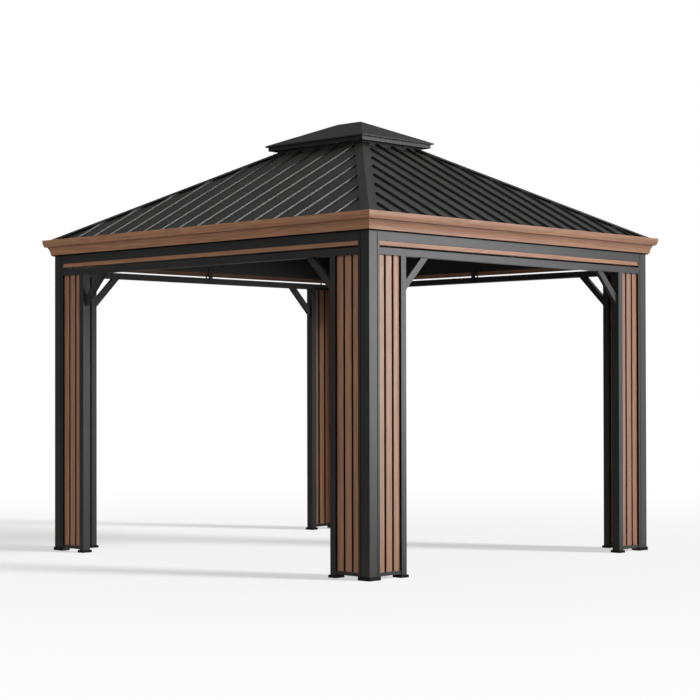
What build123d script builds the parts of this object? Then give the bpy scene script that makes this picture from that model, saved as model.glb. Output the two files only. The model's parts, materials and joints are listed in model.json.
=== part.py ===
"""Hardtop metal gazebo: slatted corner columns, double rails, a crown gutter and a two-tier hip roof.

Millimetres, +Z up. The origin is on the ground at the middle of the plan.
The front is -Y and the right side is +X.
"""

import os
from math import atan, cos, radians, sin, sqrt, tan

from build123d import *

# Plan, over the outer faces of the corner posts
span_x = 3200.0
span_y = 2964.0

# Fits between pieces
seat_gap = 0.3
hip_gap = 0.4
cut_overrun = 400.0

# Corner posts: a square tube with two ears that hold the side frames
post_size = 72.0
post_wall = 2.0
post_corner_radius = 3.0
groove_width = 6.0
groove_depth = 9.0
ear_width = 18.0
ear_depth = 50.0
ear_wall = 2.0

# Slats that close each column between post and jamb
slat_count = 3
slat_width = 55.0
slat_gap = 15.5
slat_thickness = 20.0
slat_recess = 14.0
slat_corner_radius = 5.0
slat_end_gap = 1.5

# Jambs and rails share one depth and one wall
frame_depth = 62.0
frame_wall = 2.0
jamb_width = 46.0

# Feet
shoe_overhang = 6.0
shoe_height = 24.0
shoe_floor = 4.0
foot_overhang = 9.5
foot_thickness = 18.0
foot_chamfer = 3.0
sill_clearance = 22.0
sill_height = 23.0
sill_recess = 6.0
sill_depth = 40.0

# Rails over the openings, from the clear height under them
clear_height = 2025.0
lower_rail_height = 44.0
rail_slot = 14.0
wood_rail_height = 28.0
wood_rail_recess = 4.0
wood_rail_depth = 40.0
beam_height = 176.0
hanger_width = 40.0
hanger_thickness = 4.0
hanger_lap = 36.0

# Knee braces
brace_leg = 230.0
brace_width = 46.0
brace_thickness = 28.0

# Crown gutter, fixed to the upper part of the beams
crown_lift = 66.0
crown_height = 110.5
crown_foot_reach = 21.5
crown_neck_reach = 38.0
crown_ledge_reach = 48.5
crown_bead_reach = 57.0
crown_lip_reach = 66.5
crown_bead_height = 46.4
crown_bead_bulge = 2.6
crown_bead_round = 5.5
crown_groove = 4.0
crown_back_height = 70.0
crown_wall = 2.0

# Main roof
roof_pitch = 28.5
eave_overhang = 33.0
sheet = 1.2
rib_web_width = 12.0
rib_web_height = 5.5
rib_head_width = 17.5
rib_head_height = 7.5
rib_side_angle = 75.0
front_rib_count = 15
front_rib_pitch = 188.0
side_rib_count = 17
side_rib_pitch = 160.0
cap_wing = 56.0
cap_hem = 9.0
rafter_width = 40.0
rafter_height = 50.0
rafter_wall = 2.0

# Vent ring and raised top tier
vent_half = 313.0
ring_width = 25.0
ring_height = 110.0
ring_upstand = 30.0
tier_overhang = 68.5
tier_lift = 63.5
tier_pitch = 23.0
tier_lip = 9.0
fascia_inset = 18.0
fascia_height = 44.0
fascia_thickness = 2.0

# Worked out from the sizes above
half_x = span_x / 2
half_y = span_y / 2
ear_end = post_size + groove_width + ear_width
slat_pitch = slat_width + slat_gap
slat_start = ear_end + slat_end_gap
jamb_start = slat_start + slat_count * slat_pitch - slat_gap + slat_end_gap
flange_end = jamb_start + jamb_width
sill_top = sill_clearance + sill_height
lower_rail_top = clear_height + lower_rail_height
wood_rail_bottom = lower_rail_top + rail_slot
beam_bottom = wood_rail_bottom + wood_rail_height + seat_gap
beam_top = beam_bottom + beam_height
crown_bottom = beam_bottom + crown_lift
slope = tan(radians(roof_pitch))
rib_height = rib_web_height + rib_head_height
sheet_drop = sheet / cos(radians(roof_pitch))
eave_height = beam_top + seat_gap + sheet_drop - eave_overhang * slope
vent_half_x = vent_half + max(half_x - half_y, 0)
vent_half_y = vent_half + max(half_y - half_x, 0)
roof_run = half_y + eave_overhang - vent_half_y
ring_sheet_height = eave_height + roof_run * slope
ring_top = ring_sheet_height + ring_upstand
ring_bottom = ring_top - ring_height
hip_angle = atan(slope / sqrt(2))
wing_fall = atan(sin(hip_angle))
rafter_bore_width = rafter_width - 2 * rafter_wall
rafter_bore_height = rafter_height - 2 * rafter_wall
tier_slope = tan(radians(tier_pitch))
tier_drop = sheet / cos(radians(tier_pitch))
tier_eave = ring_sheet_height + tier_lift
tier_half_x = vent_half_x + tier_overhang
tier_half_y = vent_half_y + tier_overhang
trim_height = tier_eave + cut_overrun

# Each side has the direction along it, seen from outside, its outward direction and its half-sizes in plan
sides = {
    "front": ((1, 0, 0), (0, -1, 0), half_x, half_y),
    "right": ((0, 1, 0), (1, 0, 0), half_y, half_x),
    "back": ((-1, 0, 0), (0, 1, 0), half_x, half_y),
    "left": ((0, -1, 0), (-1, 0, 0), half_y, half_x),
}

# Each column has its corner's signs and a first direction: its flanges run along +x and +y of its plane
corners = {
    "front_left": (-1, -1, (1, 0, 0)),
    "front_right": (1, -1, (0, 1, 0)),
    "back_right": (1, 1, (-1, 0, 0)),
    "back_left": (-1, 1, (0, -1, 0)),
}


def face_plane(side):
    """Plane on a side's outer post faces: x along the side, y up, z outward."""
    along, outward, _, reach = sides[side]
    return Plane(origin=Vector(outward) * reach, x_dir=along, z_dir=outward)


def section_plane(side, reach, height):
    """Plane across a side at its middle: x outward from the given reach, y up."""
    along, outward, _, _ = sides[side]
    origin = Vector(outward) * reach + Vector(0, 0, height)
    return Plane(origin=origin, x_dir=outward, z_dir=-Vector(along))


def slope_plane(side):
    """Plane across a main slope's fall, one overrun below its eave: x along the eave, y off the sheet."""
    along, outward, _, reach = sides[side]
    uphill = -Vector(outward) + Vector(0, 0, slope)
    eave = Vector(outward) * (reach + eave_overhang) + Vector(0, 0, eave_height)
    return Plane(origin=eave - uphill.normalized() * cut_overrun, x_dir=-Vector(along), z_dir=uphill)


def hip_plane(corner):
    """Plane square to a hip of the main roof, one overrun below its eave corner, with y off the roof."""
    sign_x, sign_y, _ = corners[corner]
    uphill = Vector(-sign_x, -sign_y, slope)
    across = Vector(sign_y, -sign_x, 0)
    eave = Vector(sign_x * (half_x + eave_overhang), sign_y * (half_y + eave_overhang), eave_height)
    return Plane(origin=eave - uphill.normalized() * cut_overrun, x_dir=across, z_dir=uphill)


def column_plane(corner, height):
    """Level plane with its origin at a column's outer corner and both flanges along +x and +y."""
    sign_x, sign_y, first = corners[corner]
    return Plane(origin=(sign_x * half_x, sign_y * half_y, height), x_dir=first, z_dir=(0, 0, 1))


def hip_outline(half_length, run, top_gap):
    """Plan outline of a hipped slope on its eave line: x along the eave, y inward."""
    bottom = half_length - hip_gap * sqrt(2)
    top_run = min(run - top_gap, bottom)
    top = bottom - top_run
    if top > 0:
        Polyline((-bottom, 0), (bottom, 0), (top, top_run), (-top, top_run), close=True)
    else:
        Polyline((-bottom, 0), (bottom, 0), (0, bottom), close=True)


def plan_plane(side, reach):
    """Level plane at the ground with x along a side's eave line and y inward."""
    along, outward, _, _ = sides[side]
    return Plane(origin=Vector(outward) * reach, x_dir=along, z_dir=(0, 0, 1))


def keep(piece, name):
    """Labels a finished piece and writes it under its own name."""
    piece.part.label = name
    export_step(piece.part, f"parts/{name}.step")


os.makedirs("parts", exist_ok=True)

# Corner posts: hollow square, a narrow groove and a hollow ear on each inner side
for corner in corners:
    with BuildPart() as corner_post:
        with BuildSketch(column_plane(corner, shoe_floor)) as post_section:
            Rectangle(post_size, post_size, align=Align.MIN)
            fillet(post_section.vertices().sort_by_distance((0, 0))[0], radius=post_corner_radius)
            neck_depth = ear_depth - 2 * groove_depth
            ear_start = post_size + groove_width
            with Locations((post_size, groove_depth)):
                Rectangle(groove_width, neck_depth, align=Align.MIN)
            with Locations((groove_depth, post_size)):
                Rectangle(neck_depth, groove_width, align=Align.MIN)
            with Locations((ear_start, 0)):
                Rectangle(ear_width, ear_depth, align=Align.MIN)
            with Locations((0, ear_start)):
                Rectangle(ear_depth, ear_width, align=Align.MIN)
            with Locations((post_wall, post_wall)):
                post_bore = post_size - 2 * post_wall
                Rectangle(post_bore, post_bore, align=Align.MIN, mode=Mode.SUBTRACT)
            with Locations((ear_start + ear_wall, ear_wall)):
                ear_bore = (ear_width - 2 * ear_wall, ear_depth - 2 * ear_wall)
                Rectangle(ear_bore[0], ear_bore[1], align=Align.MIN, mode=Mode.SUBTRACT)
            with Locations((ear_wall, ear_start + ear_wall)):
                Rectangle(ear_bore[1], ear_bore[0], align=Align.MIN, mode=Mode.SUBTRACT)
        extrude(amount=beam_top - shoe_floor)
    keep(corner_post, f"corner_post_{corner}")

# Jambs: a tube at the free end of each flange, standing on its foot and reaching the lower rail
for corner in corners:
    with BuildPart() as jambs:
        jamb_depth_middle = frame_depth / 2
        jamb_middle = jamb_start + jamb_width / 2
        with BuildSketch(column_plane(corner, foot_thickness)):
            with Locations((jamb_middle, jamb_depth_middle)):
                Rectangle(jamb_width, frame_depth)
                Rectangle(jamb_width - 2 * frame_wall, frame_depth - 2 * frame_wall, mode=Mode.SUBTRACT)
            with Locations((jamb_depth_middle, jamb_middle)):
                Rectangle(frame_depth, jamb_width)
                Rectangle(frame_depth - 2 * frame_wall, jamb_width - 2 * frame_wall, mode=Mode.SUBTRACT)
        extrude(amount=clear_height - seat_gap - foot_thickness)
    keep(jambs, f"jambs_{corner}")

# Slats: rounded boards that stand on the sills, set back from the column's face
for corner in corners:
    with BuildPart() as slats:
        slat_depth_middle = slat_recess + slat_thickness / 2
        slat_middles = [slat_start + slat_width / 2 + index * slat_pitch for index in range(slat_count)]
        with BuildSketch(column_plane(corner, sill_top)):
            with Locations([(middle, slat_depth_middle) for middle in slat_middles]):
                RectangleRounded(slat_width, slat_thickness, slat_corner_radius)
            with Locations([(slat_depth_middle, middle) for middle in slat_middles]):
                RectangleRounded(slat_thickness, slat_width, slat_corner_radius)
        extrude(amount=clear_height - seat_gap - sill_top)
    keep(slats, f"slats_{corner}")

# Sill rails under the slats, between each post's ear and its jamb
with BuildPart() as sill_rails:
    sill_length = jamb_start - ear_end - 2 * seat_gap
    for corner in corners:
        with BuildSketch(column_plane(corner, sill_clearance)):
            with Locations((ear_end + seat_gap, sill_recess)):
                Rectangle(sill_length, sill_depth, align=Align.MIN)
            with Locations((sill_recess, ear_end + seat_gap)):
                Rectangle(sill_depth, sill_length, align=Align.MIN)
        extrude(amount=sill_height)
keep(sill_rails, "sill_rails")

# Post shoes: a cup under each post and its ears, open where the sills begin
with BuildPart() as post_shoes:
    shoe_back = ear_depth + shoe_overhang
    shoe_square = post_size + 2 * shoe_overhang
    for corner in corners:
        with BuildSketch(column_plane(corner, 0)) as shoe_outline:
            with Locations((-shoe_overhang, -shoe_overhang)):
                Rectangle(ear_end + shoe_overhang, shoe_back + shoe_overhang, align=Align.MIN)
                Rectangle(shoe_back + shoe_overhang, ear_end + shoe_overhang, align=Align.MIN)
                Rectangle(shoe_square, shoe_square, align=Align.MIN)
        extrude(amount=shoe_height)
        with BuildSketch(column_plane(corner, shoe_floor)):
            with Locations((-seat_gap, -seat_gap)):
                pocket_length = ear_end + 2 * seat_gap
                pocket_depth = ear_depth + 2 * seat_gap
                pocket_square = post_size + 2 * seat_gap
                Rectangle(pocket_length, pocket_depth, align=Align.MIN)
                Rectangle(pocket_depth, pocket_length, align=Align.MIN)
                Rectangle(pocket_square, pocket_square, align=Align.MIN)
        extrude(amount=shoe_height, mode=Mode.SUBTRACT)
keep(post_shoes, "post_shoes")

# Jamb feet: a thick chamfered plate under each jamb
with BuildPart() as jamb_feet:
    foot_length = jamb_width + 2 * foot_overhang
    foot_depth = frame_depth + 2 * foot_overhang
    for corner in corners:
        with BuildSketch(column_plane(corner, 0)):
            with Locations((jamb_start - foot_overhang, -foot_overhang)):
                Rectangle(foot_length, foot_depth, align=Align.MIN)
            with Locations((-foot_overhang, jamb_start - foot_overhang)):
                Rectangle(foot_depth, foot_length, align=Align.MIN)
        extrude(amount=foot_thickness)
    chamfer(jamb_feet.faces().group_by(Axis.Z)[-1].edges(), length=foot_chamfer)
keep(jamb_feet, "jamb_feet")

# Beams and lower rails: tubes between the ears, flush with the post faces
for side, (_, _, half_length, reach) in sides.items():
    rail_half = half_length - ear_end - seat_gap
    with BuildPart() as beam:
        with BuildSketch(section_plane(side, reach, beam_bottom)):
            with Locations((-frame_depth / 2, beam_height / 2)):
                Rectangle(frame_depth, beam_height)
                Rectangle(frame_depth - 2 * frame_wall, beam_height - 2 * frame_wall, mode=Mode.SUBTRACT)
        extrude(amount=rail_half, both=True)
    keep(beam, f"{side}_beam")

    with BuildPart() as lower_rail:
        with BuildSketch(section_plane(side, reach, clear_height)):
            with Locations((-frame_depth / 2, lower_rail_height / 2)):
                Rectangle(frame_depth, lower_rail_height)
                rail_bore = lower_rail_height - 2 * frame_wall
                Rectangle(frame_depth - 2 * frame_wall, rail_bore, mode=Mode.SUBTRACT)
        extrude(amount=rail_half, both=True)
    keep(lower_rail, f"{side}_lower_rail")

# Wood rails: the pale strip that hangs under each beam
with BuildPart() as wood_rails:
    for side, (_, _, half_length, reach) in sides.items():
        with BuildSketch(section_plane(side, reach - wood_rail_recess, wood_rail_bottom)):
            Rectangle(wood_rail_depth, wood_rail_height, align=(Align.MAX, Align.MIN))
        extrude(amount=half_length - ear_end - seat_gap, both=True)
keep(wood_rails, "wood_rails")

# Rail hangers: a strap inside each side that ties the lower rail to the beam at mid-span
with BuildPart() as rail_hangers:
    for side in sides:
        strap_bottom = lower_rail_top - hanger_lap
        strap_top = beam_bottom + hanger_lap
        with BuildSketch(face_plane(side).offset(-frame_depth)):
            with Locations((0, strap_bottom)):
                Rectangle(hanger_width, strap_top - strap_bottom, align=(Align.CENTER, Align.MIN))
        extrude(amount=-hanger_thickness)
keep(rail_hangers, "rail_hangers")

# Knee braces: a slanted bar at each upper corner of the four openings
with BuildPart() as knee_braces:
    for side, (_, _, half_length, _) in sides.items():
        brace_foot = half_length - flange_end - seat_gap
        brace_head = clear_height - seat_gap
        inner_leg = brace_leg - brace_width * sqrt(2)
        with BuildSketch(face_plane(side).offset(-frame_depth / 2)):
            for hand in (-1, 1):
                with BuildLine():
                    Polyline(
                        (hand * brace_foot, brace_head - brace_leg),
                        (hand * brace_foot, brace_head - inner_leg),
                        (hand * (brace_foot - inner_leg), brace_head),
                        (hand * (brace_foot - brace_leg), brace_head),
                        close=True,
                    )
                make_face()
        extrude(amount=brace_thickness / 2, both=True)
keep(knee_braces, "knee_braces")

# Crown gutter: an open moulded channel, a bead over a cove, mitred at the corners
for side, (_, _, half_length, reach) in sides.items():
    with BuildPart() as cornice:
        with BuildSketch(section_plane(side, reach, crown_bottom)):
            bead_bend = crown_height - crown_bead_height
            bead_foot = bead_bend - crown_bead_round
            cove_top = bead_foot - crown_groove
            with BuildLine():
                lip_edge = (crown_lip_reach, crown_height)
                bead = SagittaArc(lip_edge, (crown_bead_reach, bead_bend), crown_bead_bulge)
                TangentArc(bead @ 1, (crown_ledge_reach, bead_foot), tangent=bead % 1)
                Polyline(
                    (crown_ledge_reach, bead_foot),
                    (crown_neck_reach, bead_foot),
                    (crown_neck_reach, cove_top),
                )
                TangentArc((crown_foot_reach, 0), (crown_neck_reach, cove_top), tangent=(0, 1))
                Polyline(
                    (crown_foot_reach, 0),
                    (seat_gap, 0),
                    (seat_gap, crown_back_height),
                    (crown_lip_reach, crown_height),
                )
            make_face()
            hollow_back = seat_gap + crown_wall
            hollow_foot = crown_foot_reach - crown_wall
            hollow_neck = crown_neck_reach - crown_wall
            hollow_bead = crown_bead_reach - crown_wall
            hollow_lip = crown_lip_reach - crown_wall
            round_left_share = (crown_bead_round - crown_wall) / crown_bead_round
            hollow_ledge = hollow_bead - (crown_bead_reach - crown_ledge_reach) * round_left_share
            with BuildLine():
                bore = SagittaArc((hollow_lip, crown_height), (hollow_bead, bead_bend), crown_bead_bulge)
                TangentArc(bore @ 1, (hollow_ledge, bead_foot + crown_wall), tangent=bore % 1)
                Polyline(
                    (hollow_ledge, bead_foot + crown_wall),
                    (hollow_neck, bead_foot + crown_wall),
                    (hollow_neck, cove_top),
                )
                TangentArc((hollow_foot, crown_wall), (hollow_neck, cove_top), tangent=(0, 1))
                Polyline(
                    (hollow_foot, crown_wall),
                    (hollow_back, crown_wall),
                    (hollow_back, crown_height),
                    (hollow_lip, crown_height),
                )
            make_face(mode=Mode.SUBTRACT)
        extrude(amount=half_length + crown_lip_reach, both=True)
        with BuildSketch(plan_plane(side, reach + crown_lip_reach)):
            with BuildLine():
                hip_outline(half_length + crown_lip_reach, crown_lip_reach + cut_overrun, 0)
            make_face()
        extrude(amount=trim_height, mode=Mode.INTERSECT)
    keep(cornice, f"{side}_cornice")

# Main roof slopes: a flat sheet with hollow capped ribs, trimmed to the hips, the eave and the vent ring
for side, (_, _, half_length, reach) in sides.items():
    lengthwise = side in ("front", "back")
    rib_count = front_rib_count if lengthwise else side_rib_count
    rib_pitch = front_rib_pitch if lengthwise else side_rib_pitch
    rib_places = [(index - (rib_count - 1) / 2) * rib_pitch for index in range(rib_count)]
    with BuildPart() as roof_slope:
        with BuildSketch(slope_plane(side)):
            Rectangle(2 * (half_length + eave_overhang), sheet, align=(Align.CENTER, Align.MAX))
            rib_seat = (Align.CENTER, Align.MIN)
            web_rise = rib_web_height + 2 * sheet
            with Locations([(place, -sheet) for place in rib_places]):
                Rectangle(rib_web_width, web_rise, align=rib_seat)
            with Locations([(place, rib_web_height) for place in rib_places]):
                Trapezoid(rib_head_width, rib_head_height, rib_side_angle, align=rib_seat)
            with Locations([(place, rib_web_height + sheet) for place in rib_places]):
                head_side = sheet / sin(radians(rib_side_angle)) + sheet / tan(radians(rib_side_angle))
                head_rise = rib_head_height - 2 * sheet
                head_bore = rib_head_width - 2 * head_side
                Trapezoid(head_bore, head_rise, rib_side_angle, align=rib_seat, mode=Mode.SUBTRACT)
            with Locations([(place, -sheet) for place in rib_places]):
                Rectangle(rib_web_width - 2 * sheet, web_rise, align=rib_seat, mode=Mode.SUBTRACT)
        extrude(amount=roof_run / cos(radians(roof_pitch)) + 2 * cut_overrun)
        with BuildSketch(plan_plane(side, reach + eave_overhang)):
            with BuildLine():
                hip_outline(half_length + eave_overhang, roof_run, seat_gap)
            make_face()
        extrude(amount=trim_height, mode=Mode.INTERSECT)
    keep(roof_slope, f"{side}_roof_slope")

# Hip caps: folded strips with a hemmed edge that lie over the rib ends
with BuildPart() as hip_caps:
    cap_ridge = (rib_height + seat_gap + sheet) / cos(wing_fall)
    wing_out = cap_wing * cos(wing_fall)
    wing_down = cap_wing * sin(wing_fall)
    hem_out = (cap_wing - cap_hem) * cos(wing_fall)
    hem_down = (cap_wing - cap_hem) * sin(wing_fall)
    edge_out = sheet * sin(wing_fall)
    edge_down = sheet * cos(wing_fall)
    hip_length = roof_run * sqrt(2) / cos(hip_angle)
    for corner in corners:
        with BuildSketch(hip_plane(corner)):
            for hand in (-1, 1):
                with BuildLine():
                    Polyline(
                        (0, cap_ridge),
                        (hand * hem_out, cap_ridge - hem_down),
                        (hand * (hem_out + edge_out), cap_ridge - hem_down + edge_down),
                        (hand * (wing_out + edge_out), cap_ridge - wing_down + edge_down),
                        (hand * (wing_out - edge_out), cap_ridge - wing_down - edge_down),
                        (0, cap_ridge - sheet / cos(wing_fall)),
                        close=True,
                    )
                make_face()
        extrude(amount=hip_length + 2 * cut_overrun)
    with BuildSketch():
        Rectangle(2 * (half_x + eave_overhang), 2 * (half_y + eave_overhang))
        Rectangle(2 * (vent_half_x + seat_gap), 2 * (vent_half_y + seat_gap), mode=Mode.SUBTRACT)
    extrude(amount=trim_height, mode=Mode.INTERSECT)
keep(hip_caps, "hip_caps")

# Hip rafters: tubes under the hips, from the inner faces of the beams to the corners of the vent ring
with BuildPart() as hip_rafters:
    rafter_top = -(sheet / cos(wing_fall) + rafter_width / 2 * tan(wing_fall) + seat_gap)
    for corner in corners:
        with BuildSketch(hip_plane(corner)):
            with Locations((0, rafter_top - rafter_height / 2)):
                Rectangle(rafter_width, rafter_height)
                Rectangle(rafter_bore_width, rafter_bore_height, mode=Mode.SUBTRACT)
        extrude(amount=hip_length + 2 * cut_overrun)
    with BuildSketch():
        rafter_setback = max(frame_depth, post_size) + rafter_width / 2 / sqrt(2) + seat_gap
        outer_diamond = (half_x + half_y - 2 * rafter_setback) * sqrt(2)
        inner_diamond = (vent_half_x + vent_half_y) * sqrt(2) + 2 * seat_gap
        Rectangle(outer_diamond, outer_diamond, rotation=45)
        Rectangle(inner_diamond, inner_diamond, rotation=45, mode=Mode.SUBTRACT)
    extrude(amount=trim_height, mode=Mode.INTERSECT)
keep(hip_rafters, "hip_rafters")

# Middle rafters: one tube up the middle of each slope, from the beam to the vent ring
with BuildPart() as middle_rafters:
    for side in sides:
        with BuildSketch(slope_plane(side)):
            with Locations((0, -(sheet + seat_gap + rafter_height / 2))):
                Rectangle(rafter_width, rafter_height)
                Rectangle(rafter_bore_width, rafter_bore_height, mode=Mode.SUBTRACT)
        extrude(amount=roof_run / cos(radians(roof_pitch)) + 2 * cut_overrun)
    with BuildSketch():
        beam_inset = frame_depth + seat_gap
        Rectangle(2 * (half_x - beam_inset), 2 * (half_y - beam_inset))
        Rectangle(2 * (vent_half_x + seat_gap), 2 * (vent_half_y + seat_gap), mode=Mode.SUBTRACT)
    extrude(amount=trim_height, mode=Mode.INTERSECT)
keep(middle_rafters, "middle_rafters")

# Vent ring: the welded curb round the opening at the top of the main roof
with BuildPart() as vent_ring:
    with BuildSketch(Plane.XY.offset(ring_bottom)):
        Rectangle(2 * vent_half_x, 2 * vent_half_y)
        Rectangle(2 * (vent_half_x - ring_width), 2 * (vent_half_y - ring_width), mode=Mode.SUBTRACT)
    extrude(amount=ring_height)
keep(vent_ring, "vent_ring")

# Tier posts: short stubs on the ring's corners that carry the raised tier
with BuildPart() as tier_posts:
    stub_top = tier_eave + tier_overhang * tier_slope - tier_drop - seat_gap
    stub_spacing_x = 2 * vent_half_x - ring_width
    stub_spacing_y = 2 * vent_half_y - ring_width
    with BuildSketch(Plane.XY.offset(ring_top)):
        with GridLocations(stub_spacing_x, stub_spacing_y, 2, 2):
            Rectangle(ring_width, ring_width)
    extrude(amount=stub_top - ring_top)
keep(tier_posts, "tier_posts")

# Top tier: plain hipped sheets that meet in a short ridge, with a turned-down drip edge
for side in sides:
    lengthwise = side in ("front", "back")
    tier_half = tier_half_x if lengthwise else tier_half_y
    tier_reach = tier_half_y if lengthwise else tier_half_x
    tier_run = min(tier_half, tier_reach)
    with BuildPart() as top_slope:
        with BuildSketch(section_plane(side, tier_reach, tier_eave)):
            with BuildLine():
                Polyline(
                    (0, 0),
                    (-tier_run, tier_run * tier_slope),
                    (-tier_run, tier_run * tier_slope - tier_drop),
                    (-sheet, sheet * tier_slope - tier_drop),
                    (-sheet, -tier_lip),
                    (0, -tier_lip),
                    close=True,
                )
            make_face()
        extrude(amount=tier_half, both=True)
        with BuildSketch(plan_plane(side, tier_reach)):
            with BuildLine():
                hip_outline(tier_half, tier_run, hip_gap)
            make_face()
        extrude(amount=trim_height, mode=Mode.INTERSECT)
    keep(top_slope, f"top_tier_{side}")

# Tier fascia: an upright strip under each edge of the top tier
with BuildPart() as tier_fascia:
    fascia_top = tier_eave + fascia_inset * tier_slope - tier_drop - seat_gap
    for side in sides:
        lengthwise = side in ("front", "back")
        fascia_reach = (tier_half_y if lengthwise else tier_half_x) - fascia_inset
        fascia_half = (tier_half_x if lengthwise else tier_half_y) - fascia_inset
        end_inset = 0 if lengthwise else fascia_thickness + seat_gap
        with BuildSketch(section_plane(side, fascia_reach, fascia_top - fascia_height)):
            Rectangle(fascia_thickness, fascia_height, align=(Align.MAX, Align.MIN))
        extrude(amount=fascia_half - end_inset, both=True)
keep(tier_fascia, "tier_fascia")
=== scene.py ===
"""Finishes for a hardtop gazebo: coated metal, wood-grain foil, roof seams, seals, studio and camera."""
import json
import math

import bpy
import numpy as np
from mathutils import Matrix, Vector


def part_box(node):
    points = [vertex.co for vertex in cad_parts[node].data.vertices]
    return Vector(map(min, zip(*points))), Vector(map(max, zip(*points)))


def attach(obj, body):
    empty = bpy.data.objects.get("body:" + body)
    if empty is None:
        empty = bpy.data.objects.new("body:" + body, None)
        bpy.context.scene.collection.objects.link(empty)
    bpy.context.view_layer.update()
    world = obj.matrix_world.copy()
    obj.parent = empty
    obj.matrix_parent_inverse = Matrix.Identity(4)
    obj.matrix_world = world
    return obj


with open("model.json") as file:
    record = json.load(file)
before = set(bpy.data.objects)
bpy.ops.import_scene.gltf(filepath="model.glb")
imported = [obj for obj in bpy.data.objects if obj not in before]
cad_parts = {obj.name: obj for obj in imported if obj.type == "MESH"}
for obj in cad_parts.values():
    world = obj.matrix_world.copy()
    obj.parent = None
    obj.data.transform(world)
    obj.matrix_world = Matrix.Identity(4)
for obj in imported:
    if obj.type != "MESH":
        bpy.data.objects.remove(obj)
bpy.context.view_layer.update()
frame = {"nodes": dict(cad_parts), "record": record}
nodes = frame["nodes"]

# Plan of the four columns, in metres, and the three slats in each column face.
half_x = 1.600
half_y = 1.482
post_size = 0.072
groove_width = 0.006
groove_depth = 0.009
shoe_height = 0.024
ear_end = 0.096
slat_count = 3
slat_width = 0.055
slat_gap = 0.0155
slat_end_gap = 0.0015
slat_recess = 0.014
slat_thickness = 0.020
slat_start = ear_end + slat_end_gap
slat_pitch = slat_width + slat_gap
jamb_start = slat_start + slat_count * slat_pitch - slat_gap + slat_end_gap
sill_top = 0.045
clear_height = 2.025
lower_rail_top = 2.069
rail_slot = 0.014
crown_bottom = 2.1773
shadow_strip_gap = 0.0001
mitre_gap = 0.0001

# Main roof: pitch, sheet, standing ribs and the wings of the hip caps.
roof_pitch = math.radians(28.5)
sheet = 0.0012
rib_web_height = 0.0055
rib_head_width = 0.0175
rib_height = 0.013
rib_side_angle = math.radians(75.0)
front_rib_count = 15
front_rib_pitch = 0.188
side_rib_count = 17
side_rib_pitch = 0.160
cap_wing = 0.056

# Edges of new pieces that turn by more than this stay crisp.
sharp_angle = math.radians(50.0)

# Finishes: dust, the swing of gloss on a coat, the foil's own values, and the painted shade on the slat sides
# in the gaps.
dust_tint = (0.30, 0.28, 0.25)
dust_reach = 0.30
tone_range = (-0.9, 1.9)
gloss_swing = 0.07
peel_height = 0.0004
foil_ior = 1.65
foil_roughness = (0.50, 0.40)
pore_height = 0.0005
# The slat sides in the gaps are painted near black as shade: its colour, the turn of a face that counts as a
# side, and how far behind the slat front it starts.
gap_painted_shade = (0.006, 0.004, 0.003)
edge_turn = 0.70
gap_shade_start = slat_recess + 0.0020
gap_shade_end = slat_recess + 0.0045

# Steps between board numbers, which move the print from board to board.
front_slat_step = 5.0
corner_slat_steps = (17.3, 41.7)
rail_step = 7.0
opposite_rail_step = 2.3
gutter_level = 2.15

# The bright side of the studio, on the right and behind.
window_side = (0.76, 0.65, 0.0)


# Shader helpers: every effect is a node group that is made once.

def add(tree, kind, **values):
    """One node of a kind, with its settings and the plain values of its inputs."""
    made = tree.nodes.new(kind)
    for key, value in values.items():
        if key.startswith("in_"):
            slot = key[3:]
            made.inputs[int(slot) if slot.isdigit() else slot.replace("_", " ")].default_value = value
        else:
            setattr(made, key, value)
    return made


def join(tree, source, target):
    """A link from one socket to another."""
    tree.links.new(source, target)


def sums(tree, operation, first, second=None):
    """A math node on sockets or plain numbers. Gives its output socket."""
    made = tree.nodes.new("ShaderNodeMath")
    made.operation = operation
    for place, value in enumerate((first, second)):
        if value is None:
            continue
        if isinstance(value, (int, float)):
            made.inputs[place].default_value = value
        else:
            join(tree, value, made.inputs[place])
    return made.outputs[0]


def blend_colours(tree, share, first, second):
    """A mix of two colours, each a socket or a plain colour, by a share. Gives its output socket."""
    made = tree.nodes.new("ShaderNodeMix")
    made.data_type = "RGBA"
    join(tree, share, made.inputs[0])
    for socket, value in ((made.inputs[6], first), (made.inputs[7], second)):
        if isinstance(value, bpy.types.NodeSocket):
            join(tree, value, socket)
        else:
            socket.default_value = (*value, 1.0)
    return made.outputs[2]


def mixed_shader(tree, share, first, second):
    """A mix of two shader nodes: the first where the share is nought, the second where it is one."""
    made = tree.nodes.new("ShaderNodeMixShader")
    join(tree, share, made.inputs[0])
    join(tree, first.outputs[0], made.inputs[1])
    join(tree, second.outputs[0], made.inputs[2])
    return made


def ramp(tree, value, start, end, low=0.0, high=1.0, shape="SMOOTHSTEP"):
    """A value that goes from low to high between a start and an end, and holds outside them."""
    made = add(tree, "ShaderNodeMapRange", interpolation_type=shape,
               in_1=start, in_2=end, in_3=low, in_4=high)
    join(tree, value, made.inputs[0])
    return made.outputs[0]


def spread_value(tree, mask, low, high):
    """A mask stretched from a low to a high value."""
    return ramp(tree, mask, 0.0, 1.0, low, high, shape="LINEAR")


def pick(tree, share, first, second):
    """The first value where the share is one, and the second where it is nought."""
    return sums(tree, "ADD", sums(tree, "MULTIPLY", first, share),
                sums(tree, "MULTIPLY", second, sums(tree, "SUBTRACT", 1.0, share)))


def new_group(name, inputs, outputs):
    """An empty shader group with named sockets. Gives the tree, its input node and its output node."""
    tree = bpy.data.node_groups.new(name, "ShaderNodeTree")
    for label, kind, value in inputs:
        socket = tree.interface.new_socket(label, in_out="INPUT", socket_type=kind)
        if value is not None:
            socket.default_value = value
    for label, kind in outputs:
        tree.interface.new_socket(label, in_out="OUTPUT", socket_type=kind)
    return tree, tree.nodes.new("NodeGroupInput"), tree.nodes.new("NodeGroupOutput")


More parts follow.
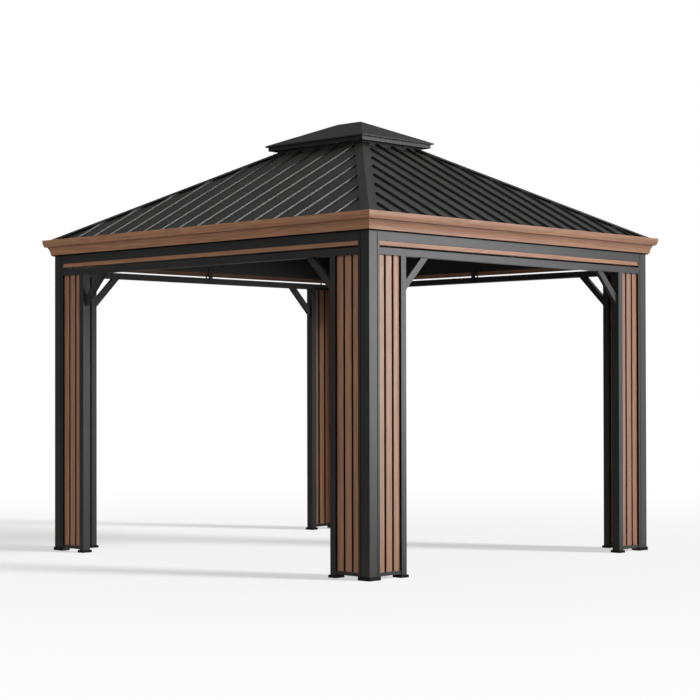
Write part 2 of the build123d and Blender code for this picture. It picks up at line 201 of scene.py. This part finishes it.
def place_group(tree, group, **values):
    """A group put into a material, with its own values."""
    made = tree.nodes.new("ShaderNodeGroup")
    made.node_tree = group
    for key, value in values.items():
        made.inputs[key.replace("_", " ")].default_value = value
    return made


def powder_coat_group():
    """Sprayed powder coat: cloudy tone, orange-peel height and a slow change of gloss."""
    tree, source, sink = new_group(
        "powder_coat",
        (("Vector", "NodeSocketVector", None), ("Peel", "NodeSocketFloat", 700.0)),
        (("Tone", "NodeSocketFloat"), ("Gloss", "NodeSocketFloat"), ("Height", "NodeSocketFloat")))
    cloud = add(tree, "ShaderNodeTexNoise", in_Scale=2.3, in_Detail=3.0, in_Roughness=0.55)
    streak = add(tree, "ShaderNodeTexNoise", in_Scale=17.0, in_Detail=4.0, in_Roughness=0.6)
    peel = add(tree, "ShaderNodeTexNoise", in_Detail=2.0, in_Roughness=0.5)
    for noise in (cloud, streak, peel):
        join(tree, source.outputs["Vector"], noise.inputs["Vector"])
    join(tree, source.outputs["Peel"], peel.inputs["Scale"])
    cloud_share, streak_share, peel_share = 0.55, 0.25, 0.2
    tone = sums(tree, "ADD", sums(tree, "MULTIPLY", cloud.outputs["Fac"], cloud_share),
                sums(tree, "MULTIPLY", streak.outputs["Fac"], streak_share))
    tone = sums(tree, "ADD", tone, sums(tree, "MULTIPLY", peel.outputs["Fac"], peel_share))
    join(tree, tone, sink.inputs["Tone"])
    join(tree, streak.outputs["Fac"], sink.inputs["Gloss"])
    join(tree, peel.outputs["Fac"], sink.inputs["Height"])
    return tree


def ground_dust_group():
    """Fine dust: strongest at the ground and on faces that look up, broken up by noise."""
    tree, source, sink = new_group(
        "ground_dust",
        (("Vector", "NodeSocketVector", None), ("Reach", "NodeSocketFloat", 0.25)),
        (("Mask", "NodeSocketFloat"),))
    place = add(tree, "ShaderNodeSeparateXYZ")
    join(tree, source.outputs["Vector"], place.inputs[0])
    low = sums(tree, "SUBTRACT", 1.0, sums(tree, "DIVIDE", place.outputs[2], source.outputs["Reach"]))
    low = sums(tree, "MAXIMUM", low, 0.0)
    shape = add(tree, "ShaderNodeNewGeometry")
    tilt = add(tree, "ShaderNodeSeparateXYZ")
    join(tree, shape.outputs["Normal"], tilt.inputs[0])
    upward_share = 0.35
    upward = sums(tree, "MULTIPLY", sums(tree, "MAXIMUM", tilt.outputs[2], 0.0), upward_share)
    speck = add(tree, "ShaderNodeTexNoise", in_Scale=60.0, in_Detail=5.0, in_Roughness=0.7)
    join(tree, source.outputs["Vector"], speck.inputs["Vector"])
    most = sums(tree, "MAXIMUM", low, upward)
    join(tree, sums(tree, "MULTIPLY", most, speck.outputs["Fac"]), sink.inputs["Mask"])
    return tree


def wood_grain_group():
    """Printed wood grain along the Z of its vector: broad flame, streaks and pores, moved for each board."""
    tree, source, sink = new_group(
        "wood_grain",
        (("Vector", "NodeSocketVector", None), ("Board", "NodeSocketFloat", 0.0),
         ("Light", "NodeSocketColor", (0.4, 0.22, 0.13, 1.0)),
         ("Dark", "NodeSocketColor", (0.2, 0.1, 0.06, 1.0))),
        (("Color", "NodeSocketColor"), ("Streak", "NodeSocketFloat"), ("Height", "NodeSocketFloat")))
    shift = add(tree, "ShaderNodeTexWhiteNoise", noise_dimensions="1D")
    join(tree, source.outputs["Board"], shift.inputs["W"])
    spread = add(tree, "ShaderNodeVectorMath", operation="SCALE", in_3=9.0)
    join(tree, shift.outputs["Color"], spread.inputs[0])
    moved = add(tree, "ShaderNodeVectorMath", operation="ADD")
    join(tree, source.outputs["Vector"], moved.inputs[0])
    join(tree, spread.outputs[0], moved.inputs[1])

    def stretched(across, along, detail, rough, distortion):
        scale = add(tree, "ShaderNodeMapping", in_Scale=(across, across, along))
        join(tree, moved.outputs[0], scale.inputs["Vector"])
        noise = add(tree, "ShaderNodeTexNoise", in_Scale=1.0, in_Detail=detail, in_Roughness=rough,
                    in_Distortion=distortion)
        join(tree, scale.outputs[0], noise.inputs["Vector"])
        return noise.outputs["Fac"]

    ring_count = 42.0
    ring_share, streak_share, pore_share = 0.22, 0.62, 0.3
    grain_range = (0.33, 0.80)
    least_tone, tone_swing = 0.92, 0.16
    flame = stretched(across=26.0, along=1.1, detail=2.0, rough=0.5, distortion=0.6)
    rings = sums(tree, "SINE", sums(tree, "MULTIPLY", flame, ring_count))
    rings = sums(tree, "ADD", sums(tree, "MULTIPLY", rings, 0.5), 0.5)
    streak = stretched(across=95.0, along=1.6, detail=3.0, rough=0.6, distortion=0.2)
    pore = stretched(across=520.0, along=9.0, detail=2.0, rough=0.6, distortion=0.0)
    mixed = sums(tree, "ADD", sums(tree, "MULTIPLY", rings, ring_share),
                 sums(tree, "MULTIPLY", streak, streak_share))
    mixed = sums(tree, "ADD", mixed, sums(tree, "MULTIPLY", pore, pore_share))
    contrast = ramp(tree, mixed, *grain_range, shape="LINEAR")
    colour = blend_colours(tree, contrast, source.outputs["Dark"], source.outputs["Light"])
    board_tone = sums(tree, "ADD", sums(tree, "MULTIPLY", shift.outputs["Value"], tone_swing), least_tone)
    bright = add(tree, "ShaderNodeVectorMath", operation="SCALE")
    join(tree, colour, bright.inputs[0])
    join(tree, board_tone, bright.inputs[3])
    join(tree, bright.outputs[0], sink.inputs["Color"])
    join(tree, contrast, sink.inputs["Streak"])
    join(tree, pore, sink.inputs["Height"])
    return tree


POWDER_COAT = powder_coat_group()
GROUND_DUST = ground_dust_group()
WOOD_GRAIN = wood_grain_group()


def new_material(name):
    """An empty node material. Gives it with its tree, its shader and its Object coordinates."""
    made = bpy.data.materials.new(name)
    made.use_nodes = True
    tree = made.node_tree
    tree.nodes.clear()
    shader = tree.nodes.new("ShaderNodeBsdfPrincipled")
    sink = tree.nodes.new("ShaderNodeOutputMaterial")
    join(tree, shader.outputs[0], sink.inputs["Surface"])
    place = tree.nodes.new("ShaderNodeTexCoord").outputs["Object"]
    return made, tree, shader, place


def coated_metal(name, deep, pale, peel, rough, depth, gloss, dust):
    """Powder-coated metal: two near tones, orange peel, a slow change of gloss and a breath of dust."""
    made, tree, shader, place = new_material(name)
    coat = place_group(tree, POWDER_COAT, Peel=peel)
    join(tree, place, coat.inputs["Vector"])
    film = place_group(tree, GROUND_DUST, Reach=dust_reach)
    join(tree, place, film.inputs["Vector"])
    colour = blend_colours(tree, spread_value(tree, coat.outputs["Tone"], *tone_range), deep, pale)
    colour = blend_colours(tree, sums(tree, "MULTIPLY", film.outputs["Mask"], dust), colour, dust_tint)
    join(tree, colour, shader.inputs["Base Color"])
    sheen = spread_value(tree, coat.outputs["Gloss"], rough - gloss_swing, rough + gloss_swing)
    join(tree, sheen, shader.inputs["Roughness"])
    bump = add(tree, "ShaderNodeBump", in_Strength=depth, in_Distance=peel_height)
    join(tree, coat.outputs["Height"], bump.inputs["Height"])
    join(tree, bump.outputs[0], shader.inputs["Normal"])
    shader.inputs["Specular IOR Level"].default_value = gloss
    return made


def slat_number(tree, x, y, from_side, from_front):
    """A number for each slat: its count along both faces of the corner, with a step for each corner."""
    edge = slat_start - slat_gap / 2
    counts = []
    for reach in (from_side, from_front):
        clear = sums(tree, "MAXIMUM", sums(tree, "SUBTRACT", reach, edge), 0.0)
        counts.append(sums(tree, "FLOOR", sums(tree, "DIVIDE", clear, slat_pitch)))
    number = sums(tree, "ADD", counts[0], sums(tree, "MULTIPLY", counts[1], front_slat_step))
    for way, step in zip((x, y), corner_slat_steps):
        number = sums(tree, "ADD", number, sums(tree, "MULTIPLY", sums(tree, "SIGN", way), step))
    return number


def rail_number(tree, x, y, z, sideways):
    """A number for each length of rail or gutter: a step for its pair of sides, its side and its level."""
    face = pick(tree, sideways, sums(tree, "SIGN", x), sums(tree, "SIGN", y))
    number = sums(tree, "ADD", sums(tree, "MULTIPLY", sideways, rail_step),
                  sums(tree, "MULTIPLY", face, opposite_rail_step))
    return sums(tree, "ADD", number, sums(tree, "GREATER_THAN", z, gutter_level))


def slat_side_shade_mask(tree, sideways, depth):
    """Mask of painted shade: one on the sides of the slats behind their rounded fronts, the faces that look
    along the column face.
    """
    shape = add(tree, "ShaderNodeSeparateXYZ")
    join(tree, tree.nodes.new("ShaderNodeNewGeometry").outputs["Normal"], shape.inputs[0])
    across = pick(tree, sideways, sums(tree, "ABSOLUTE", shape.outputs[1]),
                  sums(tree, "ABSOLUTE", shape.outputs[0]))
    behind = ramp(tree, depth, gap_shade_start, gap_shade_end, shape="LINEAR")
    return sums(tree, "MULTIPLY", sums(tree, "GREATER_THAN", across, edge_turn), behind)


def wood_foil(name, upright, light, dark, sheen):
    """Wood-grain foil on aluminium. The grain runs up the slats, or along the rails and the gutter.

    A point belongs to the side whose outer face is nearer. The sides of the slats in the gaps are painted
    black as shade, and made dull.
    """
    made, tree, shader, place = new_material(name)
    axes = add(tree, "ShaderNodeSeparateXYZ")
    join(tree, place, axes.inputs[0])
    x, y, z = axes.outputs
    grain = place_group(tree, WOOD_GRAIN, Light=(*light, 1.0), Dark=(*dark, 1.0))
    from_side = sums(tree, "SUBTRACT", half_x, sums(tree, "ABSOLUTE", x))
    from_front = sums(tree, "SUBTRACT", half_y, sums(tree, "ABSOLUTE", y))
    sideways = sums(tree, "LESS_THAN", from_side, from_front)
    depth = sums(tree, "MINIMUM", from_side, from_front)
    colour = grain.outputs["Color"]
    rough = spread_value(tree, grain.outputs["Streak"], *foil_roughness)
    if upright:
        join(tree, place, grain.inputs["Vector"])
        number = slat_number(tree, x, y, from_side, from_front)
        # The slat sides in the gaps are painted near black, standing in for the shade there, and made dull.
        painted_gap_shade = slat_side_shade_mask(tree, sideways, depth)
        colour = blend_colours(tree, painted_gap_shade, colour, gap_painted_shade)
        rough = sums(tree, "MAXIMUM", rough, painted_gap_shade)
    else:
        turned = add(tree, "ShaderNodeCombineXYZ")
        for socket, value in zip(turned.inputs, (depth, z, pick(tree, sideways, y, x))):
            join(tree, value, socket)
        join(tree, turned.outputs[0], grain.inputs["Vector"])
        number = rail_number(tree, x, y, z, sideways)
    join(tree, number, grain.inputs["Board"])
    join(tree, colour, shader.inputs["Base Color"])
    join(tree, rough, shader.inputs["Roughness"])
    bump = add(tree, "ShaderNodeBump", in_Strength=0.12, in_Distance=pore_height)
    join(tree, grain.outputs["Height"], bump.inputs["Height"])
    join(tree, bump.outputs[0], shader.inputs["Normal"])
    shader.inputs["IOR"].default_value = foil_ior
    shader.inputs["Specular IOR Level"].default_value = sheen
    return made


charcoal_frame = coated_metal(
    "charcoal_frame_coat", deep=(0.017, 0.017, 0.016), pale=(0.028, 0.028, 0.027),
    peel=700.0, rough=0.38, depth=0.15, gloss=0.70, dust=0.05)
charcoal_roof = coated_metal(
    "charcoal_roof_coat", deep=(0.029, 0.029, 0.027), pale=(0.047, 0.047, 0.044),
    peel=62.0, rough=0.54, depth=1.00, gloss=0.55, dust=0.05)
black_foot = coated_metal(
    "black_cast_foot", deep=(0.006, 0.006, 0.006), pale=(0.011, 0.011, 0.011),
    peel=420.0, rough=0.60, depth=0.30, gloss=0.12, dust=0.05)
ridge_cap = coated_metal(
    "ridge_cap_coat", deep=(0.018, 0.018, 0.017), pale=(0.030, 0.030, 0.028),
    peel=260.0, rough=0.45, depth=0.20, gloss=0.90, dust=0.05)
tier_sheet = coated_metal(
    "tier_sheet_coat", deep=(0.021, 0.021, 0.0195), pale=(0.034, 0.034, 0.032),
    peel=260.0, rough=0.50, depth=0.30, gloss=0.60, dust=0.05)
# Near black, darker than the frame, as painted shade under the eave of the top tier.
fascia_shade_coat = coated_metal(
    "fascia_shade_coat", deep=(0.007, 0.007, 0.007), pale=(0.012, 0.012, 0.012),
    peel=700.0, rough=0.36, depth=0.10, gloss=1.00, dust=0.02)
# Near black, much darker than the roof sheet, as painted shade on the sides of the ribs.
seam_shade_coat = coated_metal(
    "seam_roll_shade_coat", deep=(0.005, 0.005, 0.005), pale=(0.009, 0.009, 0.009),
    peel=260.0, rough=0.43, depth=0.01, gloss=0.85, dust=0.01)
# Near-black strips for painted shade, put in the crevices, gaps and grooves and under the gutter, where only
# shade falls.
painted_shade_strip = coated_metal(
    "painted_shade_strip", deep=(0.004, 0.004, 0.004), pale=(0.007, 0.007, 0.007),
    peel=900.0, rough=0.75, depth=0.30, gloss=0.15, dust=0.02)
slat_foil = wood_foil(
    "wood_foil_slats", upright=True, light=(0.450, 0.203, 0.094), dark=(0.258, 0.107, 0.047), sheen=0.82)
rail_foil = wood_foil(
    "wood_foil_rails", upright=False, light=(0.480, 0.222, 0.104), dark=(0.276, 0.116, 0.050), sheen=0.58)

# The finish of each slot of the record, and of the nodes that differ from their slot.
SLOT_FINISH = {"frame_metal": charcoal_frame, "roof_metal": charcoal_roof, "foot_plastic": black_foot,
               "wood_effect": rail_foil}
NODE_FINISH = {"slats_": slat_foil, "top_tier_": tier_sheet, "tier_fascia": fascia_shade_coat,
               "hip_caps": ridge_cap}

for row in frame["record"]["subparts"]:
    finish = SLOT_FINISH[row["material_slot"]]
    for start, other in NODE_FINISH.items():
        if row["node"].startswith(start):
            finish = other
    slots = nodes[row["node"]].data.materials
    slots.clear()
    slots.append(finish)


# New pieces: closed loops carried along a path, worked out as whole arrays.

def turned_outward(loops):
    """Loops of each copy, turned round where their quads look inwards.

    A quad's normal is the cross product of its two edges. Its sign against the way from the copy's middle
    line, added up over the copy, says whether the copy looks out.
    """
    after = np.roll(loops, -1, axis=2)
    edge_round = after[:, :-1] - loops[:, :-1]
    edge_along = loops[:, 1:] - loops[:, :-1]
    normal = np.cross(edge_round, edge_along)
    middle = loops.mean(axis=2, keepdims=True)
    outward = (loops - middle)[:, :-1]
    sign = np.einsum("crki,crki->c", normal, outward)
    turned = loops.copy()
    turned[sign < 0] = loops[sign < 0][:, :, ::-1]
    return turned


def carried_piece(name, loops, material):
    """One joined mesh of closed loops. The array is copies by rows along the path by points round a loop."""
    loops = turned_outward(np.asarray(loops, float))
    copies, rows, round_count, _ = loops.shape
    index = np.arange(copies * rows * round_count).reshape(copies, rows, round_count)
    after = np.roll(index, -1, axis=2)
    quads = np.stack([index[:, :-1], after[:, :-1], after[:, 1:], index[:, 1:]], axis=-1).reshape(-1, 4)
    caps = np.concatenate([index[:, 0, ::-1], index[:, -1]])
    mesh = bpy.data.meshes.new(name)
    mesh.from_pydata(loops.reshape(-1, 3).tolist(), [], quads.tolist() + caps.tolist())
    mesh.update()
    smooth = np.ones(len(mesh.polygons), bool)
    smooth[len(quads):] = False
    mesh.polygons.foreach_set("use_smooth", smooth)
    mesh.set_sharp_from_angle(angle=sharp_angle)
    mesh.materials.append(material)
    piece = bpy.data.objects.new(name, mesh)
    bpy.context.scene.collection.objects.link(piece)
    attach(piece, "root")
    return piece


def four_sides(front_half, front_reach, side_half, side_reach):
    """Along and outward directions of the front, right, back and left, with half-lengths and reaches."""
    sides = []
    for along, outward, half_length, reach in (
            ((1, 0, 0), (0, -1, 0), front_half, front_reach),
            ((0, 1, 0), (1, 0, 0), side_half, side_reach),
            ((-1, 0, 0), (0, 1, 0), front_half, front_reach),
            ((0, -1, 0), (-1, 0, 0), side_half, side_reach)):
        sides.append((np.array(along, float), np.array(outward, float), half_length, reach))
    return sides


def rolled_seams(material):
    """Cap strips on the standing ribs: leaning sides under half an ellipse, from the eave to the hip cap.

    On top a point is half the width times the cosine across the rib, and the roll's height times the sine
    off the sheet. The sides lean like those of the rib. The strip stops where the wing of the hip cap begins,
    or at the vent ring.
    """
    skin = 0.0005
    roll_height = 0.0045
    eave_gap = 0.003
    cap_gap = 0.003
    ring_gap = 0.004
    foot_half = rib_head_width / 2 + skin
    roll_half = foot_half - (rib_height - rib_web_height) / math.tan(rib_side_angle)
    turns = np.linspace(0.0, math.pi, 9)
    across = np.concatenate([roll_half * np.cos(turns), [-foot_half, foot_half]])
    drop = rib_web_height - rib_height - skin
    above = np.concatenate([roll_height * np.sin(turns), [drop, drop]])
    slope = math.tan(roof_pitch)
    wing_fall = math.atan(math.sin(math.atan(slope / math.sqrt(2))))
    cap_cover = cap_wing * math.cos(wing_fall) * math.sqrt(2) + cap_gap
    low, high = (np.array(corner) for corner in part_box("front_roof_slope"))
    side_high = np.array(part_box("right_roof_slope")[1])
    sides = four_sides(high[0], -low[1], side_high[1], side_high[0])
    eave_height = low[2] + sheet / math.cos(roof_pitch)
    ring_high = np.array(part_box("vent_ring")[1])
    rolls = []
    for number, (along, outward, half_length, reach) in enumerate(sides):
        count, pitch = ((front_rib_count, front_rib_pitch), (side_rib_count, side_rib_pitch))[number % 2]
        places = (np.arange(count) - (count - 1) / 2) * pitch
        run = reach - abs(outward) @ ring_high - ring_gap
        ends = np.minimum(run, half_length - np.abs(places) - foot_half - cap_cover)
        inward = np.stack([np.full(count, eave_gap), ends], axis=1)
        normal = outward * math.sin(roof_pitch) + np.array((0.0, 0.0, math.cos(roof_pitch)))
        base = (places[:, None, None] * along + (reach - inward)[..., None] * outward
                + (eave_height + inward * slope)[..., None] * np.array((0.0, 0.0, 1.0))
                + normal * rib_height)
        loop = across[:, None] * along + above[:, None] * normal
        rolls.append(base[:, :, None, :] + loop)
    return carried_piece("rolled_seams", np.concatenate(rolls), material)


def column_strips(spans, depths, heights, bend):
    """Upright strips in the eight column faces: a rectangle in plan, carried from one height to another.

    Spans are stretches along the face from the outer corner, and depths go in from the face. The corners of
    the rectangle are cut off by the bend.
    """
    corner_signs = np.array([(-1, -1), (1, -1), (1, 1), (-1, 1)], float)
    loops = []
    near, far = depths
    for start, end in spans:
        run = np.array([start + bend, end - bend, end, end, end - bend, start + bend, start, start])
        deep = np.array([near, near, near + bend, far - bend, far, far, far - bend, near + bend])
        for flip in (False, True):
            from_side, from_front = (deep, run) if flip else (run, deep)
            x = corner_signs[:, :1] * (half_x - from_side)
            y = corner_signs[:, 1:] * (half_y - from_front)
            plan = np.broadcast_to(np.stack([x, y], axis=-1)[:, None], (4, 2, len(run), 2))
            level = np.broadcast_to(np.array(heights)[None, :, None, None], (4, 2, len(run), 1))
            loops.append(np.concatenate([plan, level], axis=-1))
    return np.concatenate(loops)


def cornice_shadow_strip(material):
    """Black strip under the gutter's foot, as a painted shadow line: a strip with an eased lower edge,
    carried along each side.

    The strip's section is given out from the post faces and down from the gutter. Its length grows with the
    way out, so that two lengths meet on the diagonal.
    """
    post_gap = 0.0002
    width = 0.0150
    height = 0.0070
    out = np.array([post_gap, width, width, 0.0130, 0.0100, post_gap])
    down = np.array([0.0, 0.0, 0.0030, 0.0055, height, height])
    loops = []
    for along, outward, half_length, reach in four_sides(half_x, half_y, half_y, half_x):
        ends = np.array([-1.0, 1.0])[:, None] * (half_length + out - mitre_gap)
        points = (ends[..., None] * along + (reach + out)[:, None] * outward
                  + (crown_bottom - shadow_strip_gap - down)[:, None] * np.array((0.0, 0.0, 1.0)))
        loops.append(points)
    return carried_piece("cornice_shadow_strip", np.stack(loops), material)


def slot_spacers(material):
    """Barrel spacers in the slot under the wood rails: a radius that swells with the sine of the height."""
    end_radius = 0.0050
    swell = 0.0012
    depth = 0.014
    shares = np.array([-0.875, 0.0, 0.875])
    turns = np.linspace(0.0, 2 * math.pi, 13)[:-1]
    rise = np.linspace(0.0, 1.0, 6)
    radius = end_radius + swell * np.sin(math.pi * rise)
    level = lower_rail_top + rail_slot * rise
    ring = np.stack([np.cos(turns), np.sin(turns)], axis=-1)
    barrel = np.concatenate([radius[:, None, None] * ring,
                             np.broadcast_to(level[:, None, None], (len(rise), len(turns), 1))], axis=-1)
    flat = np.zeros_like(shares)
    places = []
    for side in (1, -1):
        places.append(np.stack([shares * half_x, flat + side * (half_y - depth), flat], axis=1))
    for side in (1, -1):
        places.append(np.stack([flat + side * (half_x - depth), shares * half_y, flat], axis=1))
    loops = np.concatenate(places)[:, None, None, :] + barrel
    return carried_piece("slot_spacers", loops, material)


def slat_edge_shade_strips(material):
    """Black strips between the slats and the frame, as painted shade in the crevice, lining the ear and the
    jamb by the end slats.
    """
    slack = 0.0002
    thickness = slat_end_gap - slack
    set_back = 0.0012
    head_gap = 0.0005
    bend = 0.0003
    spans = ((ear_end, ear_end + thickness), (jamb_start - thickness, jamb_start))
    depths = (set_back, slat_recess + slat_thickness)
    loops = column_strips(spans, depths, (sill_top, clear_height - head_gap), bend)
    return carried_piece("slat_edge_shade_strips", loops, material)


def slat_gap_shade_lips(material):
    """Black lips behind the two gaps of each column face, standing out from the sides of the slats, as
    painted shade that darkens the gaps.
    """
    lip = 0.0048
    lip_front = 0.0138
    lip_back = 0.0154
    skin = 0.0001
    end_gap = 0.0005
    bend = 0.0004
    depths = (slat_recess + lip_front, slat_recess + lip_back)
    spans = []
    for number in range(1, slat_count):
        gap_end = slat_start + number * slat_pitch
        spans += [(gap_end - slat_gap + skin, gap_end - slat_gap + lip), (gap_end - lip, gap_end - skin)]
    loops = column_strips(spans, depths, (sill_top + end_gap, clear_height - end_gap), bend)
    return carried_piece("slat_gap_shade_lips", loops, material)


def groove_shade_strips(material):
    """Black strips in the grooves between the posts and their ears, a little behind the faces, as painted
    shade in the grooves.
    """
    skin = 0.0001
    set_back = 0.0012
    foot_gap = 0.0005
    head_gap = 0.008
    bend = 0.0006
    spans = ((post_size + skin, post_size + groove_width - skin),)
    depths = (set_back, groove_depth - skin)
    loops = column_strips(spans, depths, (shoe_height + foot_gap, crown_bottom - head_gap), bend)
    return carried_piece("groove_shade_strips", loops, material)


rolled_seams(seam_shade_coat)
# Black strips as painted shade in the slat crevices and gaps, in the post grooves and under the gutter.
slat_edge_shade_strips(painted_shade_strip)
slat_gap_shade_lips(painted_shade_strip)
groove_shade_strips(painted_shade_strip)
cornice_shadow_strip(painted_shade_strip)
slot_spacers(charcoal_frame)


# Studio: pale floor, white surround, a far and a near soft lamp on the right, and a lamp for the shadows.

def studio_floor():
    """A flat disc whose tone fades to the white surround away from the gazebo."""
    rings = np.array([0.0, 2.0, 5.0, 12.0, 60.0])
    turns = np.linspace(0.0, 2 * math.pi, 65)[:-1]
    grid = np.stack([np.outer(rings[1:], np.cos(turns)), np.outer(rings[1:], np.sin(turns)),
                     np.zeros((len(rings) - 1, len(turns)))], axis=-1).reshape(-1, 3)
    points = np.vstack([np.zeros((1, 3)), grid])
    count = len(turns)
    here = np.arange(count)
    after = (here + 1) % count
    fan = np.stack([np.zeros(count, int), 1 + here, 1 + after], axis=1)
    faces = [tuple(row) for row in fan.tolist()]
    for band in range(len(rings) - 2):
        low = 1 + band * count
        quads = np.stack([low + here, low + count + here, low + count + after, low + after], axis=1)
        faces += [tuple(row) for row in quads.tolist()]
    mesh = bpy.data.meshes.new("studio_floor")
    mesh.from_pydata(points.tolist(), [], faces)
    mesh.update()
    floor = bpy.data.objects.new("studio_floor", mesh)
    bpy.context.scene.collection.objects.link(floor)
    mesh.materials.append(floor_paint())
    return floor


def floor_paint():
    """Matt paint that fades to white with the way from the middle, and is dim to all rays but the camera's.

    Reflections see the paint on the bright side and away from the gazebo. Scattered light gets a little more
    back from the floor on the dark side.
    """
    dim = 0.12
    matt_tone = (0.12, 0.12, 0.1195)
    fade_reach = (1.0, 9.0)
    least_white = 0.57
    glint_side = (-0.30, 0.80)
    glint_reach = (1.9, 3.2)
    lift_side = (-0.80, 0.0)
    lift = 0.30
    paint = bpy.data.materials.new("studio_floor_paint")
    paint.use_nodes = True
    tree = paint.node_tree
    tree.nodes.clear()
    rays = tree.nodes.new("ShaderNodeLightPath").outputs
    place = tree.nodes.new("ShaderNodeTexCoord").outputs["Object"]
    length = add(tree, "ShaderNodeVectorMath", operation="LENGTH")
    join(tree, place, length.inputs[0])
    way_out = length.outputs["Value"]
    level = add(tree, "ShaderNodeVectorMath", operation="NORMALIZE")
    join(tree, place, level.inputs[0])
    towards = add(tree, "ShaderNodeVectorMath", operation="DOT_PRODUCT", in_1=window_side)
    join(tree, level.outputs[0], towards.inputs[0])
    bright_side = towards.outputs["Value"]

    matt = add(tree, "ShaderNodeBsdfDiffuse", in_Color=(*matt_tone, 1.0))
    white = add(tree, "ShaderNodeEmission", in_Strength=1.0)
    seen = mixed_shader(tree, ramp(tree, way_out, *fade_reach, low=least_white), matt, white)
    glint = sums(tree, "MULTIPLY", ramp(tree, bright_side, *glint_side), ramp(tree, way_out, *glint_reach))
    extra = sums(tree, "MULTIPLY", ramp(tree, bright_side, *lift_side, low=lift, high=0.0),
                 rays["Is Diffuse Ray"])
    bounce = tree.nodes.new("ShaderNodeEmission")
    join(tree, sums(tree, "ADD", extra, dim), bounce.inputs["Strength"])
    direct = sums(tree, "MAXIMUM", rays["Is Camera Ray"], rays["Is Transmission Ray"])
    direct = sums(tree, "MAXIMUM", direct, sums(tree, "MULTIPLY", rays["Is Glossy Ray"], glint))
    chosen = mixed_shader(tree, direct, bounce, seen)
    join(tree, chosen.outputs[0], tree.nodes.new("ShaderNodeOutputMaterial").inputs["Surface"])
    return paint


def soft_lamp(name, place, aim, size, power, tint, spread):
    """A rectangular soft lamp at a place, facing an aim point. A spread under 180 degrees is a grid on it."""
    lamp = bpy.data.lights.new(name, "AREA")
    lamp.shape = "RECTANGLE"
    lamp.size, lamp.size_y = size
    lamp.energy = power
    lamp.color = tint
    lamp.spread = math.radians(spread)
    made = bpy.data.objects.new(name, lamp)
    bpy.context.scene.collection.objects.link(made)
    back = np.array(place) - np.array(aim)
    back = back / np.linalg.norm(back)
    right = np.cross((0.0, 0.0, 1.0), back)
    right = right / np.linalg.norm(right)
    up = np.cross(back, right)
    turn = np.eye(4)
    turn[:3, 0], turn[:3, 1], turn[:3, 2], turn[:3, 3] = right, up, back, place
    made.matrix_world = Matrix(turn.tolist())
    made.visible_camera = False


def shadow_lamp(floor, towards_lamp, blur, power):
    """A far lamp that lights the floor alone, so that each post lays its shadow there. Blur is in degrees."""
    lamp = bpy.data.lights.new("floor_shadow_lamp", "SUN")
    lamp.energy = power
    lamp.angle = math.radians(blur)
    made = bpy.data.objects.new("floor_shadow_lamp", lamp)
    bpy.context.scene.collection.objects.link(made)
    made.rotation_euler = Vector(towards_lamp).to_track_quat("Z", "Y").to_euler()
    lit_floor = bpy.data.collections.new("lit_floor")
    lit_floor.objects.link(floor)
    made.light_linking.receiver_collection = lit_floor


floor = studio_floor()
soft_lamp("right_key_lamp", place=(13.4, 5.5, 8.3), aim=(1.0, -1.5, 1.8), size=(3.74, 2.55), power=146.0,
          tint=(1.0, 0.995, 0.99), spread=80.0)
soft_lamp("right_wide_lamp", place=(6.0, 2.7, 1.95), aim=(1.6, -1.70, 0.35), size=(3.4, 2.6), power=20.0,
          tint=(0.975, 0.96, 1.0), spread=76.0)
shadow_lamp(floor, towards_lamp=(0.803, 0.395, 0.446), blur=12.0, power=39.0)

# The surround is white to the camera. In reflections it is white on the right and behind, with a dark curtain
# at the left front. Its light on the object is a little stronger from the bright side.
dark_side_light = 0.80
curtain_tone = 0.10
window_range = (0.0, 0.90)
world = bpy.data.worlds.new("studio_surround")
bpy.context.scene.world = world
world.use_nodes = True
sky = world.node_tree
sky.nodes.clear()
sky_rays = sky.nodes.new("ShaderNodeLightPath").outputs
towards = add(sky, "ShaderNodeVectorMath", operation="DOT_PRODUCT", in_1=window_side)
join(sky, sky.nodes.new("ShaderNodeTexCoord").outputs["Generated"], towards.inputs[0])
bright_side = towards.outputs["Value"]
sky_light = add(sky, "ShaderNodeBackground", in_Color=(1.0, 0.995, 0.98, 1.0))
glow = ramp(sky, bright_side, -1.0, 1.0, low=dark_side_light, shape="LINEAR")
join(sky, glow, sky_light.inputs["Strength"])
sky_white = add(sky, "ShaderNodeBackground", in_Color=(1.0, 1.0, 1.0, 1.0), in_Strength=1.0)
sky_glint = add(sky, "ShaderNodeBackground", in_Color=(0.96, 0.96, 1.0, 1.0))
join(sky, ramp(sky, bright_side, *window_range, low=curtain_tone), sky_glint.inputs["Strength"])
unseen = mixed_shader(sky, sky_rays["Is Glossy Ray"], sky_light, sky_glint)
straight = sums(sky, "MAXIMUM", sky_rays["Is Camera Ray"], sky_rays["Is Transmission Ray"])
surround = mixed_shader(sky, straight, unseen, sky_white)
join(sky, surround.outputs[0], sky.nodes.new("ShaderNodeOutputWorld").inputs["Surface"])

bpy.context.scene.view_settings.view_transform = "Standard"

# Camera at the photograph's viewing angle. Angles are in degrees.
camera_place = (9.2827, -9.6150, 1.1954)
camera_heading = 43.976
camera_lift = 0.6567
camera_roll = -0.1145
camera_data = bpy.data.cameras.new("photo_camera")
camera = bpy.data.objects.new("photo_camera", camera_data)
bpy.context.scene.collection.objects.link(camera)
camera_data.sensor_width = 36.0
camera_data.lens = 93.20
camera_data.shift_y = 0.0241
camera_data.clip_end = 200.0
camera.matrix_world = (Matrix.Translation(camera_place)
                       @ Matrix.Rotation(math.radians(camera_heading), 4, "Z")
                       @ Matrix.Rotation(math.radians(90.0 + camera_lift), 4, "X")
                       @ Matrix.Rotation(math.radians(camera_roll), 4, "Z"))
bpy.context.scene.camera = camera
